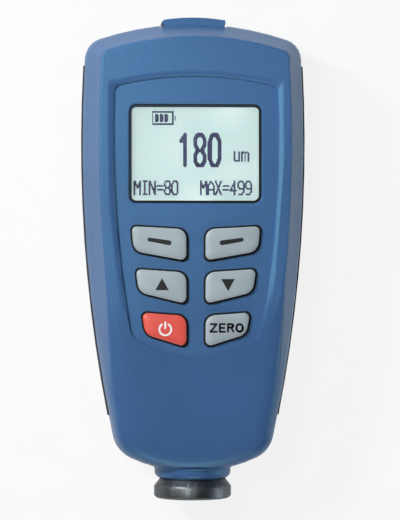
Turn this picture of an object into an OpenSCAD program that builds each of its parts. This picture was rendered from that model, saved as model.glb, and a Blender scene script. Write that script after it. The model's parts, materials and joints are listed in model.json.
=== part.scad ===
// Hand-held coating thickness gauge with a spring-loaded probe in its lower end.
// The gauge lies on its back: X is its width, Y runs from the probe to the top end
// and Z rises from the back to the face.
// Inside the modules Y is measured from the rim of the probe cap, and in_frame()
// moves the result so that the origin lies under the middle of the whole gauge.

/* [Case] */
// Width of the case without the side grips
case_w = 57.8; // [55:0.2:62]
// Depth of the case from its back to its face
case_d = 30; // [29:0.5:34]
// Length of the case from its lower end to its top
case_len = 116.8; // [115:0.2:126]
// Thickness of the case's walls
wall = 2; // [1.6:0.1:2.4]
// Height of the parting plane and of the probe's axis above the back
part_z = 13; // [12.8:0.1:14]
// Radius of the long curve of each side
side_r = 370; // [320:5:420]
// Distance from the top of the case down to its widest place
side_from_top = 31; // [28:0.5:38]
// Radius of the curved top end
top_r = 77; // [60:1:110]
// Radius of the curved lower end
bottom_r = 38.5; // [34:0.5:46]
// Radius of the two upper corners
top_corner_r = 5.6; // [5:0.1:7]
// Radius of the two lower corners
bottom_corner_r = 7.9; // [6:0.1:10]

/* [Face] */
// Width of the bevel that runs round the face
bevel_w = 4.6; // [3.6:0.1:5.4]
// Reach of the soft rounding at the lower end
soft_w = 10; // [8:0.5:12]
// Distance from the top of the case to where the face starts to tilt back
tilt_from_top = 69.6; // [64:0.2:76]
// Radius of the bend above the tilted part
bend_r = 100; // [80:5:140]
// Height of the tilted face over the neck's top at the lower end, before the bend is added
face_over_neck = 1.25; // [0.9:0.05:2]

/* [Panel] */
// Depth of the sunken panel that holds the display and the keys
panel_depth = 1.3; // [1.0:0.1:1.6]
// Distance from the case's side to the panel at the widest place
panel_margin = 8.1; // [7.8:0.1:8.5]
// Radius of the panel's sides
panel_side_r = 300; // [260:5:360]
// Distance from the top of the case to the panel's upper edge
panel_from_top = 14.7; // [14:0.1:16]
// Length of the panel
panel_len = 71.2; // [70:0.2:73]
// Width of the sloping wall round the panel
panel_slope = 2.4; // [2:0.1:2.6]

/* [Display] */
// Distance from the panel's side to the opening over the display window
window_margin = 4.3; // [3.8:0.1:5]
// Height of the opening over the display window
window_h = 24.4; // [22:0.2:25.4]
// Distance from the top of the case to the middle of the window
window_from_top = 34.35; // [33.6:0.05:35.6]
// Thickness of the clear window
window_t = 1.2; // [1:0.1:1.4]
// Thickness of the display's glass
lcd_t = 1.2; // [1:0.1:1.4]

/* [Keys] */
// Distance from the top of the case to the upper edge of the first key row
keys_from_top = 53.66; // [53.2:0.02:54.6]
// Spacing of the key rows
key_pitch = 11.05; // [10.8:0.05:11.3]
// Height of a key at its inner edge
key_h = 7.95; // [7.2:0.05:8.2]
// Distance from the middle line to a key's inner edge
key_inner_x = 2.5; // [2.2:0.1:3.2]
// Gap between a key and its opening
key_gap = 0.35; // [0.25:0.05:0.45]
// Height of a key above the panel
key_proud = 1.2; // [1:0.1:1.5]
// Distance that a key travels when it is pressed
key_travel = 0.8; // [0.6:0.1:0.85]

/* [Probe] */
// Largest radius of the probe cap
cap_r = 10.1; // [9.6:0.1:10.4]
// Height of the probe cap below the neck
cap_h = 5.05; // [4.6:0.05:5.6]
// Radius of the neck that carries the probe
neck_r = 9.96; // [9.4:0.1:10.4]
// Radius of the sensor plunger
plunger_r = 4.95; // [4.5:0.05:5.2]
// Length of the steel sleeve round the probe
sleeve_len = 20.5; // [19:0.5:22]

/* [Grips] */
// Distance from the top of the case to the upper end of a grip
grip_from_top = 10.9; // [10:0.1:14]
// Length of a side grip
grip_len = 91; // [80:0.5:92]
// Height of a side grip across the case's side
grip_h = 9.5; // [8.6:0.1:10]
// Height of a grip's upper edge above the parting plane
grip_rise = 3.5; // [3:0.1:4.5]
// Thickness of a side grip
grip_t = 1.2; // [1:0.1:1.3]
// Distance that a grip stands proud of the case
grip_proud = 0.3; // [0.1:0.05:0.5]

/* [Battery] */
// Radius of an AAA cell
cell_r = 5.25; // [5.05:0.05:5.25]
// Length of an AAA cell's can
cell_len = 43.7; // [42.5:0.1:43.9]
// Thickness of the battery door
door_t = 1.5; // [1.3:0.1:1.7]

/* [Port] */
// Width of the cover over the data port
cover_w = 16.6; // [16:0.2:18]
// Height of the cover across the case's top
cover_h = 11; // [10.6:0.2:12]
// Distance that the cover stands proud of the case
cover_proud = 1.55; // [1.4:0.05:1.8]
// Radius of the cover's hinge pin
pin_r = 0.6; // [0.5:0.05:0.7]

/* [Fit] */
// Clearance between fixed pieces
fit = 0.1; // [0.05:0.01:0.15]
// Radial clearance of turning and sliding pieces
running = 0.06; // [0.03:0.01:0.1]
// Clearance of the sliding door
slide_fit = 0.15; // [0.1:0.01:0.2]

/* [Hidden] */

$fn = 48;
// Overrun of every cut past the surface that it opens
over = 1;
// Depth by which a joined form sinks into the form that carries it
sink = 0.3;

// Places along the gauge, from the rim of the probe cap
neck_drop = 1.75;
neck_s = cap_h;
case_s0 = neck_s + neck_drop;
case_s1 = case_s0 + case_len;
cover_top_s = case_s1 + cover_proud;
tip_proud = 0.5;
frame_s = (cover_top_s - tip_proud) / 2;

// Segments of the arcs that make the outlines
top_n = 5;
corner_n = 5;
side_n = 8;
bottom_n = 5;
inner_corner_n = 3;

case_half = case_w / 2;
side_s = case_s1 - side_from_top;
face_h = case_d - part_z;
tilt_s = case_s1 - tilt_from_top;
// Angle by which the lower face tilts back
tilt = atan((face_h - neck_r - face_over_neck) / (tilt_s - case_s0));
panel_half = case_half - panel_margin;
window_w = 2 * (panel_half - window_margin);

// The front's section, from the parting plane to the face: reach and height shares
front_inset_shares = [0, 0.02, 0.19, 0.33, 0.87, 0.93, 0.97, 1.03];
front_height_shares = [0, 0.26, 0.42, 0.5, 0.945, 0.98, 0.993, 1];
soft_inset_shares = [0, 0.02, 0.05, 0.1, 0.19, 0.33, 0.58, 1];
soft_height_shares = [0, 0.4, 0.66, 0.8, 0.895, 0.955, 0.988, 1];
// The back's section, from the back to the parting plane
back_w = 7;
back_soft_w = 12;
back_inset_shares = [1, 0.66, 0.33, 0.1, 0.015, 0];
back_height_shares = [0, 0.046, 0.154, 0.346, 0.577, 1];
back_soft_inset_shares = [1, 0.68, 0.36, 0.14, 0.03, 0];
back_soft_height_shares = [0, 0.07, 0.21, 0.42, 0.68, 1];
// Stretch over which the bevel turns into the soft rounding
soft_from_top = 63.6;
soft_to_top = 103.6;
least_corner = 0.8;
// Share of an inset by which an upper corner's radius shrinks with it
top_corner_share = 0.8;
soft_corner_share = 0.35;

// Two circles' meeting point, on the left of the line from the first to the second
function meet(c1, r1, c2, r2) =
    let (v = c2 - c1, d = norm(v), u = v / d,
         a = (r1 * r1 - r2 * r2 + d * d) / (2 * d), h = sqrt(max(0, r1 * r1 - a * a)))
    c1 + a * u + h * [-u[1], u[0]];
function bearing(from, to) = atan2(to[1] - from[1], to[0] - from[0]);
// The points of an arc after its first one
function arc(c, r, a0, a1, n) =
    [for (i = [1 : n]) let (a = a0 + (a1 - a0) * i / n) c + r * [cos(a), sin(a)]];
function mix(a, b, t) = a + (b - a) * t;
function smooth(t) = let (u = min(1, max(0, t))) u * u * (3 - 2 * u);
function turned_over(points) = [for (i = [len(points) - 1 : -1 : 0]) points[i]];

// Right half of an outline of four arcs and four round corners, from its top to its bottom.
// It takes the half width, the side's radius and centre, the top's and the bottom's place
// and radius, and the radius of the upper and the lower corners.
function half_outline(half, sr, sc, ts, tr, bs, br, ct, cb, nc = corner_n) =
    let (tc = [0, ts - tr], bc = [0, bs + br], cc = [half - sr, sc],
         kt = meet(cc, sr - ct, tc, tr - ct), kb = meet(bc, br - cb, cc, sr - cb),
         a1 = bearing(tc, kt), a2 = bearing(cc, kt), a3 = bearing(cc, kb), a4 = bearing(bc, kb))
    concat([[0, ts]], arc(tc, tr, 90, a1, top_n), arc(kt, ct, a1, a2, nc),
           arc(cc, sr, a2, a3, side_n), arc(kb, cb, a3, a4, nc), arc(bc, br, a4, -90, bottom_n));

// Right half of the case's outline, moved inwards by an inset
function case_half_outline(inset, corner) =
    half_outline(case_half - inset, side_r - inset, side_s, case_s1 - inset, top_r - inset,
                 case_s0 + inset, bottom_r - inset,
                 max(least_corner, top_corner_r - top_corner_share * inset), corner);
function crisp_outline(inset) = case_half_outline(inset, max(least_corner, bottom_corner_r - inset));
function soft_outline(inset) =
    case_half_outline(inset, max(least_corner, bottom_corner_r - soft_corner_share * inset));
function softness(s) = smooth((case_s1 - soft_from_top - s) / (soft_to_top - soft_from_top));

// How far the face has fallen back at a place along the gauge
function fall(s) =
    let (t = max(0, tilt_s - s), t1 = bend_r * sin(tilt))
    t < t1 ? bend_r - sqrt(bend_r * bend_r - t * t)
           : bend_r * (1 - cos(tilt)) + (t - t1) * tan(tilt);

// Half rings of the front, from the parting plane to a height above it
function front_ring(crisp, soft, crisp_share, soft_share, height) =
    let (outer = crisp_outline(0), a = crisp_outline(crisp), b = soft_outline(soft))
    [for (i = [0 : len(outer) - 1])
        let (t = softness(outer[i][1]), p = mix(a[i], b[i], t))
        [p[0], p[1], part_z + mix(crisp_share, soft_share, t) * (height - fall(p[1]))]];
function front_rings(inset, height) =
    [for (k = [0 : len(front_inset_shares) - 1])
        front_ring(inset + front_inset_shares[k] * bevel_w, inset + soft_inset_shares[k] * soft_w,
                   front_height_shares[k], soft_height_shares[k], height)];
// Half rings of the back, from its lowest plane to the parting plane
function back_ring(crisp, soft, crisp_share, soft_share, low) =
    let (outer = crisp_outline(0), a = crisp_outline(crisp), b = soft_outline(soft))
    [for (i = [0 : len(outer) - 1])
        let (t = softness(outer[i][1]), p = mix(a[i], b[i], t))
        [p[0], p[1], low + mix(crisp_share, soft_share, t) * (part_z - low)]];
function back_rings(inset, low) =
    [for (k = [0 : len(back_inset_shares) - 1])
        back_ring(inset + back_inset_shares[k] * back_w, inset + back_soft_inset_shares[k] * back_soft_w,
                  back_height_shares[k], back_soft_height_shares[k], low)];
function flat_ring(outline, z) = [for (p = outline) [p[0], p[1], z]];

// Solid through closed sections of equal length, clockwise from above, from the lowest up.
// The top face is one flat polygon where no faces are given for it.
module skin(sections, top_faces = []) {
    m = len(sections[0]);
    last = (len(sections) - 1) * m;
    lower = [for (i = [m - 1 : -1 : 0]) i];
    upper = len(top_faces) == 0 ? [[for (i = [0 : m - 1]) last + i]]
          : [for (f = top_faces) [for (i = f) last + i]];
    sides = [for (j = [0 : len(sections) - 2]) for (i = [0 : m - 1])
        let (a = j * m + i, b = j * m + (i + 1) % m) [a, b, b + m, a + m]];
    polyhedron([for (s = sections) each s], concat([lower], sides, upper), convexity = 6);
}
// Solid through half rings that are mirrored to the left. A top ring that isn't flat is
// closed by strips across it.
module loft(rings, flat = true) {
    n = len(rings[0]);
    m = 2 * n - 2;
    function left(i) = (m - i) % m;
    function strip(i) = i == 0 ? [0, 1, left(1)]
                      : i == n - 2 ? [i, i + 1, left(i)] : [i, i + 1, left(i + 1), left(i)];
    skin([for (r = rings) concat(r, [for (i = [n - 2 : -1 : 1]) [-r[i][0], r[i][1], r[i][2]]])],
         flat ? [] : [for (i = [0 : n - 2]) strip(i)]);
}

// Corner points of a polygon, each rounded with its own radius
function rounded(points, radii, n) =
    [for (i = [0 : len(points) - 1])
        let (p = points[i], count = len(points), a = points[(i + count - 1) % count],
             b = points[(i + 1) % count], u = (a - p) / norm(a - p), v = (b - p) / norm(b - p),
             half = acos(u * v) / 2, w = (u + v) / norm(u + v), c = p + w * radii[i] / sin(half),
             f = c + (p + u * radii[i] / tan(half) - c), g = p + v * radii[i] / tan(half),
             a0 = bearing(c, f), turn = (bearing(c, g) - a0 + 540) % 360 - 180)
        for (k = [0 : n]) c + radii[i] * [cos(a0 + turn * k / n), sin(a0 + turn * k / n)]];
// A clockwise or anticlockwise convex polygon with its sides moved outwards
function grown(points, by) =
    [for (i = [0 : len(points) - 1])
        let (p = points[i], count = len(points), a = points[(i + count - 1) % count],
             b = points[(i + 1) % count], u = (a - p) / norm(a - p), v = (b - p) / norm(b - p))
        p - (u + v) * by / sin(acos(u * v))];

// A rounded rectangle about a place on the middle line, clockwise
function rounded_rect(w, h, r, s) =
    rounded([[-w / 2, s + h / 2], [w / 2, s + h / 2], [w / 2, s - h / 2], [-w / 2, s - h / 2]],
            [r, r, r, r], 4);
module rounded_plate(w, h, r, s, z0, z1) {
    translate([0, s, z0])
        linear_extrude(z1 - z0)
            difference() {
                square([w, h], center = true);
                for (x = [-1, 1], y = [-1, 1])
                    translate([x * (w / 2 - r), y * (h / 2 - r)])
                        rotate(x > 0 ? (y > 0 ? 0 : -90) : (y > 0 ? 90 : 180))
                            difference() {
                                square(r + over);
                                circle(r);
                            }
            }
}
module box(x0, x1, s0, s1, z0, z1) {
    translate([x0, s0, z0])
        cube([x1 - x0, s1 - s0, z1 - z0]);
}
module in_frame() {
    translate([0, -frame_s, 0])
        children();
}
// Turned parts: their profile is given as radius and place along the probe's axis
module turned() {
    translate([0, 0, part_z])
        rotate([-90, 0, 0])
            rotate_extrude($fn = 72)
                children();
}
module bar(r, s0, s1) {
    translate([0, s0, part_z])
        rotate([-90, 0, 0])
            cylinder(r = r, h = s1 - s0, $fn = 72);
}
// A tube of round section along points, as one closed solid
module swept(points, r, sides) {
    last = len(points) - 1;
    function way(i) = let (d = points[min(last, i + 1)] - points[max(0, i - 1)]) d / norm(d);
    function across(t) = let (a = abs(t[0]) < 0.9 ? [1, 0, 0] : [0, 1, 0], c = cross(t, a)) c / norm(c);
    rings = [for (i = [0 : last]) let (t = way(i), u = across(t), v = cross(t, u))
        for (k = [0 : sides - 1]) points[i] + r * (cos(360 * k / sides) * u + sin(360 * k / sides) * v)];
    walls = [for (i = [0 : last - 1]) for (k = [0 : sides - 1])
        let (a = i * sides + k, b = i * sides + (k + 1) % sides)
        each [[a, a + sides, b + sides], [a, b + sides, b]]];
    polyhedron(rings, concat([[for (k = [0 : sides - 1]) k]], walls,
                             [[for (k = [sides - 1 : -1 : 0]) last * sides + k]]), convexity = 8);
}

// Heights inside the front, from the panel down to the main board
panel_z = case_d - panel_depth;
panel_wall = 2;
ceiling_z = panel_z - panel_wall;
window_top_z = ceiling_z + window_t;
gasket_t = 0.5;
lcd_top_z = ceiling_z - gasket_t;
lcd_z = lcd_top_z - lcd_t;
backlight_t = 1;
board_top_z = lcd_z - backlight_t;
board_t = 1.6;
board_z = board_top_z - board_t;
rear_floor_z = 3.4;

// The sunken panel
panel_side_from_top = 28.6;
panel_side_s = case_s1 - panel_side_from_top;
panel_top_s = case_s1 - panel_from_top;
panel_top_r = 86;
panel_bottom_s = panel_top_s - panel_len;
panel_bottom_r = 28.8;
panel_top_corner = 2.2;
panel_rim_corner = 1.2;
panel_bottom_corner = 3;
function panel_outline(out) =
    half_outline(panel_half + out, panel_side_r + out, panel_side_s, panel_top_s + out,
                 panel_top_r + out, panel_bottom_s - out, panel_bottom_r + out,
                 mix(panel_top_corner, panel_rim_corner, out / panel_slope),
                 panel_bottom_corner + out, inner_corner_n);
// The wall's section, from the panel to over the face: reach and height shares
wall_reach_shares = [0, 0.1, 0.3, 0.62, 1.05];
wall_height_shares = [0, 0.45, 0.78, 0.95, 1.03];
wall_over_share = 1.3;
module panel_cut() {
    loft(concat([for (k = [0 : len(wall_reach_shares) - 1])
                     flat_ring(panel_outline(wall_reach_shares[k] * panel_slope),
                               panel_z + wall_height_shares[k] * panel_depth)],
                [flat_ring(panel_outline(wall_over_share * panel_slope), case_d + over)]));
}

// The display window, its sloping surround and its pocket
window_s = case_s1 - window_from_top;
window_slope = 0.85;
window_corner = 1.5;
window_lip = 1.6;
window_plate_w = window_w + 2 * window_lip;
window_plate_h = window_h + 2 * window_lip;
window_plate_r = 2;
window_rise = (panel_z + over - window_top_z) / (panel_z - window_top_z);
lcd_margin = 0.3;
lcd_w = window_plate_w + lcd_margin;
lcd_h = window_plate_h + 2 * window_lip - lcd_margin;
lcd_corner = 0.6;
holder_wall = 1.2;
module window_cut() {
    spread = window_slope * window_rise;
    opening = rounded_rect(window_w, window_h, window_corner, window_s);
    surround = rounded_rect(window_w + 2 * spread, window_h + 2 * spread, window_corner + spread, window_s);
    skin([flat_ring(opening, window_top_z - over), flat_ring(opening, window_top_z),
          flat_ring(surround, panel_z + over)]);
    rounded_plate(window_plate_w + 2 * fit, window_plate_h + 2 * fit, window_plate_r, window_s,
                  ceiling_z - over, window_top_z);
}

// The keys, in three rows from the top down
keys_s = case_s1 - keys_from_top;
key_margin = 3.4;
key_rise_tops = [3.1, 3.9, 4.1];
key_rise_bottoms = [9.8, 13.3, 16.9];
key_corner_inner_top = 2.5;
key_corner_inner_bottom = 1.4;
key_corner_outer_bottom = 2.9;
key_corner_outer_top = 1.3;
key_corners = [key_corner_inner_top, key_corner_inner_bottom,
               key_corner_outer_bottom, key_corner_outer_top];
key_top_z = panel_z + key_proud;
key_edge = 0.35;
key_flange = 1;
key_flange_t = 0.8;
key_flange_z = ceiling_z - fit / 2 - key_flange_t;
nub_r = 1.5;
nub_end_gap = 0.15;
dome_t = 0.3;
dome_r = 3;
dome_top_r = 1.8;
nub_z = board_top_z + dome_t + nub_end_gap + key_travel;
function panel_half_at(s) =
    panel_half - panel_side_r + sqrt(pow(panel_side_r, 2) - pow(s - panel_side_s, 2));
function key_outer_x(s) = panel_half_at(s) - key_margin;
function key_line(s, rise, x) = s + (x - key_inner_x) * tan(rise);
function key_corner(s, rise) =
    let (x0 = key_outer_x(s), x1 = key_outer_x(key_line(s, rise, x0))) [x1, key_line(s, rise, x1)];
function key_row_s(row) = keys_s - row * key_pitch;
// Corners of a right-hand key: inner top, inner bottom, outer bottom, outer top
function key_shape(row) =
    let (s = key_row_s(row))
    [[key_inner_x, s], [key_inner_x, s - key_h],
     key_corner(s - key_h, key_rise_bottoms[row]), key_corner(s, key_rise_tops[row])];
function key_outline(row, out) =
    rounded(grown(key_shape(row), out), [for (r = key_corners) max(key_edge, r + out)], 4);
function key_centre(row) = let (p = key_shape(row)) (p[0] + p[1] + p[2] + p[3]) / 4;
module key_hand(side) {
    mirror([side < 0 ? 1 : 0, 0, 0])
        children();
}
// A key: a cap with a softened edge, a flange that stops under the panel, and a nub
module key(row, side) {
    outline = turned_over(key_outline(row, 0));
    in_frame()
        key_hand(side) {
            skin([flat_ring(outline, key_flange_z + key_flange_t - sink),
                  flat_ring(outline, key_top_z - key_edge),
                  flat_ring(turned_over(key_outline(row, -key_edge)), key_top_z)]);
            translate([0, 0, key_flange_z])
                linear_extrude(key_flange_t)
                    polygon(key_outline(row, key_flange));
            translate([key_centre(row)[0], key_centre(row)[1], nub_z])
                cylinder(r = nub_r, h = key_flange_z + key_flange_t / 2 - nub_z);
        }
}
module key_openings() {
    for (row = [0 : 2], side = [-1, 1])
        key_hand(side)
            translate([0, 0, ceiling_z - over])
                linear_extrude(panel_z - ceiling_z + 2 * over)
                    polygon(key_outline(row, key_gap));
}

// The keypad's pocket behind the panel, and the mat in it
pad_margin = 1.8;
pad_s1 = key_corner(keys_s, key_rise_tops[0])[1] + pad_margin / 2;
pad_s0 = key_row_s(2) - key_h - pad_margin;
module pad(inset, z0, z1) {
    a = key_outer_x(pad_s1) + pad_margin - inset;
    b = key_outer_x(pad_s0) + pad_margin - inset;
    translate([0, 0, z0])
        linear_extrude(z1 - z0)
            polygon([[-a, pad_s1 - inset], [a, pad_s1 - inset], [b, pad_s0 + inset], [-b, pad_s0 + inset]]);
}
mat_t = 0.95;
mat_well_r = 3.2;

// Screws and the bosses that they hold
case_screw_top_in = 8.9;
case_screw_top_drop = 12.1;
case_screw_top_x = case_half - case_screw_top_in;
case_screw_top_s = case_s1 - case_screw_top_drop;
case_screw_low_in = 11.9;
case_screw_low_rise = 20.2;
case_screw_low_x = case_half - case_screw_low_in;
case_screw_low_s = case_s0 + case_screw_low_rise;
case_screw_r = 1.15;
case_screw_head_r = 2.4;
case_screw_head_t = 2;
case_screw_seat_z = 7.5;
case_screw_hold = 6;
case_screw_end_z = part_z + case_screw_hold;
boss_r = 3;
recess_gap = 0.2;
case_screw_places = [
    [-case_screw_top_x, case_screw_top_s], [case_screw_top_x, case_screw_top_s],
    [-case_screw_low_x, case_screw_low_s], [case_screw_low_x, case_screw_low_s]
];
board_screw_r = 0.95;
board_screw_head_r = 1.8;
board_screw_head_t = 1.3;
board_boss_r = 1.75;
board_screw_len = 2.1;
board_screw_top_out = 0.6;
board_screw_low_in = 7.6;
board_screw_top_x = panel_half + board_screw_top_out;
board_screw_low_x = panel_half - board_screw_low_in;
board_screw_places = [
    [-board_screw_top_x, window_s + lcd_h / 4], [board_screw_top_x, window_s + lcd_h / 4],
    [-board_screw_low_x, pad_s0 - board_boss_r - fit], [board_screw_low_x, pad_s0 - board_boss_r - fit]
];

// The main board
board_out = 2.4;
board_side_r = 240;
board_over_holder = 3.2;
board_under_screws = 0.9;
board_top_s = window_s + lcd_h / 2 + holder_wall + board_over_holder;
board_low_s = pad_s0 - 2 * board_boss_r - 2 * fit - board_under_screws;
board_corner = 3;
board_end_r = 86;
function board_outline() =
    half_outline(panel_half + board_out, board_side_r, panel_side_s, board_top_s, board_end_r,
                 board_low_s, board_end_r, board_corner, board_corner, inner_corner_n);

// The grips
grip_s1 = case_s1 - grip_from_top;
grip_s0 = grip_s1 - grip_len;
grip_z0 = part_z + grip_rise - grip_h;
grip_n = 10;
grip_out_r = side_r + grip_proud;
grip_centre = [case_half - side_r, side_s];
function grip_points(out, extra) =
    let (r1 = grip_out_r + out, r0 = grip_out_r - grip_t - extra,
         a1 = asin((grip_s1 + extra - side_s) / grip_out_r),
         a0 = asin((grip_s0 - extra - side_s) / grip_out_r))
    concat([for (i = [0 : grip_n])
                let (a = mix(a0, a1, i / grip_n)) grip_centre + r1 * [cos(a), sin(a)]],
           [for (i = [grip_n : -1 : 0])
                let (a = mix(a0, a1, i / grip_n)) grip_centre + r0 * [cos(a), sin(a)]]);
module grip_strip(out, extra) {
    translate([0, 0, grip_z0 - extra])
        linear_extrude(grip_h + 2 * extra)
            polygon(grip_points(out, extra));
}

// The port in the top wall, its cover and its hinge
port_w = 9;
port_h = 5;
port_gap = 0.3;
usb_w = 7.7;
usb_h = 3.9;
usb_len = 9.2;
cover_half = cover_w / 2;
cover_lift = 0.2;
cover_sink = 1.15;
cover_floor_s = case_s1 - cover_sink;
cover_low_s = cover_floor_s + cover_lift;
cover_top_r = 50;
knuckle_r = 1.05;
hinge_x = cover_half - knuckle_r;
hinge_s = cover_low_s + knuckle_r;
ear_h = 5.4;
ear_gap = 0.2;
notch_gap = 0.45;
notch_x = hinge_x - knuckle_r - notch_gap;
pin_cover_t = 1.2;
lip_in = 0.9;
lip_t = 0.55;
lip_lift = 0.1;
lip_s = case_s1 + lip_lift;
lip_round_share = 0.6;
plug_depth = 1.2;
pocket_gap = 0.45;
port_board_t = 1.6;
port_board_w = 18;
port_board_z = part_z - usb_h / 2 - port_board_t;
port_board_gap = 0.8;
port_board_len = 12;
port_board_s1 = case_s1 - wall - port_board_gap;
port_board_s0 = port_board_s1 - port_board_len;

// The battery bay in the back
bay_wall = 1.2;
bay_gap = 0.25;
cell_gap = 0.5;
door_z = 0.3;
channel_z = door_z + door_t + fit;
cell_x = cell_r + cell_gap / 2;
cell_z = channel_z + bay_gap + cell_r;
bay_half = cell_x + cell_r + bay_gap;
bay_top_z = cell_z + cell_r + bay_gap;
bay_rise = 27.2;
bay_s0 = case_s0 + bay_rise;
spring_len = 3.4;
nub_len = 0.8;
plate_t = 0.4;
bay_s1 = bay_s0 + cell_len + nub_len + spring_len + 2 * plate_t + 2 * fit;
cell_s0 = bay_s0 + plate_t + fit + nub_len;
tongue_w = 0.8;
tongue_t = 0.8;
door_lap = 0.5;
door_half = bay_half + bay_wall + door_lap;
door_s1 = bay_s1 + bay_wall;
door_rise = 9.7;
door_s0 = case_s0 + door_rise;

// The probe
neck_round = 1.8;
neck_flare = 1;
neck_in_len = 9.2;
neck_in_s = case_s0 + neck_in_len;
spigot_r = 7.2;
spigot_len = 3.95;
spigot_s1 = neck_s + spigot_len;
bore_r = plunger_r + running;
cap_chamfer_h = 2.1;
cap_chamfer_w = 1.6;
cap_edge = 0.5;
seal_r = 0.5;
seal_s = 2;
sleeve_s0 = spigot_s1 + fit;
sleeve_s1 = sleeve_s0 + sleeve_len;
sleeve_wall = 0.85;
sleeve_in_r = spigot_r - sleeve_wall;
flange_t = 1.5;
flange_s0 = spigot_s1 + running;
stem_r = 2.5;
stem_len = 8.5;
core_r = 1.4;
coil_in_r = core_r + fit;
pot_wall = 0.7;
pot_r = plunger_r - pot_wall;
pot_s1 = 7.9;
face_s = -0.2;
face_t = 0.95;
coil_s1 = 6.8;
wire_r = 0.45;
spring_out = 1.5;
spring_r = stem_r + spring_out;
spring_turns = 5;
clip_t = 0.8;
clip_depth = 0.4;
plug_t = 3;
clip_from_end = 1.2;
clip_s = sleeve_s1 - clip_t - clip_from_end;
plug_s = clip_s - plug_t - fit;
lead_r = 0.9;
saddle_t = 2;
saddle_s = sleeve_s0 + sleeve_len / 2;
saddle_side = 2.4;
saddle_half = spigot_r + saddle_side;

module neck() {
    turned()
        difference() {
            union() {
                translate([0, neck_s + neck_round])
                    square([neck_r, neck_in_s - neck_s - neck_round]);
                translate([0, neck_s])
                    square([neck_r - neck_round, neck_in_s - neck_s]);
                translate([neck_r - neck_round, neck_s + neck_round])
                    circle(neck_round);
                difference() {
                    translate([0, case_s0 + neck_flare / 2])
                        square([neck_r + neck_flare, neck_flare]);
                    translate([neck_r + neck_flare, case_s0 + neck_flare / 2])
                        circle(neck_flare);
                }
            }
            translate([-over, neck_s - over])
                square([spigot_r + fit + over, neck_in_s - neck_s + 2 * over]);
        }
}
module saddle(z0, z1) {
    box(-saddle_half, saddle_half, saddle_s - saddle_t / 2, saddle_s + saddle_t / 2, z0, z1);
}
module upper_half() {
    intersection() {
        children();
        box(-case_w, case_w, -over, case_s1 + cover_proud + over, part_z, case_d);
    }
}
module lower_half() {
    intersection() {
        children();
        box(-case_w, case_w, -over, case_s1 + cover_proud + over, 0, part_z);
    }
}
module port_cut() {
    box(-port_w / 2, port_w / 2, case_s1 - wall - over, case_s1 + over, part_z - port_h / 2,
        part_z + port_h / 2);
    box(-cover_half - pocket_gap, cover_half + pocket_gap, cover_floor_s, case_s1 + over,
        part_z - cover_h / 2 - cover_lift, part_z + cover_h / 2 + cover_lift);
}
module hinge_ear() {
    difference() {
        union() {
            translate([hinge_x, hinge_s, part_z - ear_h / 2])
                cylinder(r = knuckle_r, h = ear_h);
            box(hinge_x - knuckle_r, hinge_x + knuckle_r, cover_floor_s - sink, hinge_s,
                part_z - ear_h / 2, part_z + ear_h / 2);
        }
        translate([hinge_x, hinge_s, part_z - cover_h])
            cylinder(r = pin_r + running / 4, h = 2 * cover_h, $fn = 32);
    }
}

module front_shell() {
    color("#3f6aa0") in_frame() difference() {
        union() {
            difference() {
                loft(front_rings(0, face_h), flat = false);
                loft(concat([flat_ring(crisp_outline(wall), part_z - over)],
                            front_rings(wall, ceiling_z - part_z)), flat = false);
                pad(0, board_top_z, ceiling_z);
            }
            upper_half() neck();
            intersection() {
                loft(front_rings(wall / 2, face_h - wall / 2), flat = false);
                union() {
                    difference() {
                        saddle(part_z, case_d);
                        bar(spigot_r + fit, saddle_s - saddle_t, saddle_s + saddle_t);
                    }
                    for (p = case_screw_places)
                        translate([p[0], p[1], part_z])
                            cylinder(r = boss_r, h = face_h);
                    for (p = board_screw_places)
                        translate([p[0], p[1], board_top_z])
                            cylinder(r = board_boss_r, h = case_d - board_top_z);
                }
            }
            upper_half() hinge_ear();
        }
        panel_cut();
        window_cut();
        key_openings();
        bar(spigot_r + fit, neck_s - over, neck_in_s);
        for (p = case_screw_places)
            translate([p[0], p[1], part_z - over])
                cylinder(r = case_screw_r + fit / 2, h = case_screw_end_z - part_z + 2 * over);
        for (p = board_screw_places)
            translate([p[0], p[1], board_top_z - over])
                cylinder(r = board_screw_r + fit / 2, h = board_screw_len + over + fit);
        port_cut_clear();
        for (side = [-1, 1])
            key_hand(side)
                grip_strip(over, fit / 2);
    }
}
// The port and the cover's pocket, without the ear that stands in it
module port_cut_clear() {
    difference() {
        port_cut();
        hinge_ear();
    }
}

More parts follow.
